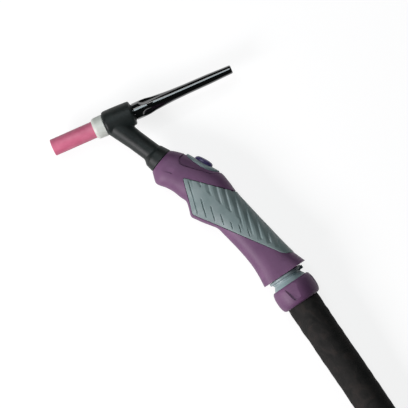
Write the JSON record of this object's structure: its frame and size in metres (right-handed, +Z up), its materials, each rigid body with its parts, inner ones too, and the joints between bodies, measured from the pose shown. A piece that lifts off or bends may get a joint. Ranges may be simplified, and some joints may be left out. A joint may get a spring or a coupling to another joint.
{
  "type": "tig torch",
  "caption": "Gas-cooled TIG welding torch with a contoured two-tone handle, long back cap, pink ceramic nozzle, ball swivel and leather-sleeved lead, its cable coiled.",
  "frame": {"origin": "On the floor, under the middle of the torch's own bounding box; the torch lies on its side and the lead is laid out next to it.", "axes": "X runs along the handle towards the lead, Y points to the side with the switch and the back cap, Z is up, out of the side of the handle that faces upwards."},
  "size_m": [0.6371, 0.514, 0.0448],
  "materials": {
    "pink_alumina": "satin",
    "white_ptfe": "satin",
    "copper": "satin",
    "tungsten": "satin",
    "brass": "satin",
    "black_rubber": "matte",
    "gloss_black": "gloss",
    "cable_jacket": "satin",
    "wire_red": "satin",
    "purple_shell": "satin",
    "grey_grip": "matte",
    "pale_teal": "satin",
    "indigo_button": "satin",
    "dark_plastic": "satin",
    "steel": "satin",
    "leather": "matte",
    "strap": "matte"
  },
  "bodies": {
    "torch": {"collet_body": "copper", "collet": "copper", "head_core": "brass", "head_cover": "black_rubber", "neck_tube": "copper", "neck_coupling": "brass", "inner_power_cable": "cable_jacket", "switch_wires": "wire_red", "handle_shell_left": "purple_shell", "handle_shell_right": "purple_shell", "grip_pad_left": "grey_grip", "grip_pad_right": "grey_grip", "switch_bezel": "pale_teal", "microswitch": "dark_plastic", "shell_screws": "steel", "swivel_ball": "pale_teal", "lead_sleeve": "leather", "sleeve_cuff": "black_rubber", "cable_lead_in": "cable_jacket", "cable_coil": "cable_jacket", "cable_tail": "cable_jacket", "coil_straps": "strap", "connector_boot": "black_rubber", "connector_body": "brass", "connector_pin": "brass", "connector_seal": "black_rubber", "switch_lead": "cable_jacket", "switch_plug": "dark_plastic", "switch_plug_ring": "steel", "switch_plug_pins": "brass"},
    "nozzle_stack": {"heat_shield": "white_ptfe"},
    "nozzle": {"nozzle": "pink_alumina"},
    "cap_carrier": {"back_cap_seal": "black_rubber"},
    "cap": {"back_cap": "gloss_black"},
    "electrode": {"electrode": "tungsten"},
    "button": {"switch_button": "indigo_button"},
    "swivel": {"sleeve_clamp": "dark_plastic"},
    "collar": {"swivel_collar": "purple_shell"}
  },
  "joints": [
    {"name": "button_press", "type": "slide", "parent": "torch", "child": "button", "axis": [0.225, -0.9744, 0], "range_m": [0, 0.0012], "stiffness_N_per_m": 1500, "springref_m": -0.0005},
    {"name": "nozzle_travel", "type": "slide", "parent": "torch", "child": "nozzle_stack", "axis": [-0.4083, -0.9128, 0], "range_m": [0, 0.0101]},
    {"name": "nozzle_turn", "type": "hinge", "parent": "nozzle_stack", "child": "nozzle", "pos_m": [-0.11713, -0.02794, 0.0225], "axis": [-0.4083, -0.9128, 0], "range_deg": [0, 2400]},
    {"name": "cap_travel", "type": "slide", "parent": "torch", "child": "cap_carrier", "axis": [0.4083, 0.9128, 0], "range_m": [0, 0.0101]},
    {"name": "cap_turn", "type": "hinge", "parent": "cap_carrier", "child": "cap", "pos_m": [-0.11713, -0.02794, 0.0225], "axis": [0.4083, 0.9128, 0], "range_deg": [0, 2880]},
    {"name": "electrode_slide", "type": "slide", "parent": "torch", "child": "electrode", "axis": [-0.4083, -0.9128, 0], "range_m": [0, 0.016]},
    {"name": "swivel_tilt", "type": "hinge", "parent": "torch", "child": "swivel", "pos_m": [0.1304, -0.03018, 0.0225], "axis": [0, 0, 1], "range_deg": [-15, 15], "deforming": ["lead_sleeve"]},
    {"name": "collar_turn", "type": "hinge", "parent": "swivel", "child": "collar", "pos_m": [0.1304, -0.03018, 0.0225], "axis": [0.9715, -0.2368, 0], "continuous": true}
  ],
  "couplings": [
    {"joint": "nozzle_travel", "follows": "nozzle_turn", "m_per_rad": 0.00023873},
    {"joint": "cap_travel", "follows": "cap_turn", "m_per_rad": 0.00019894}
  ]
}
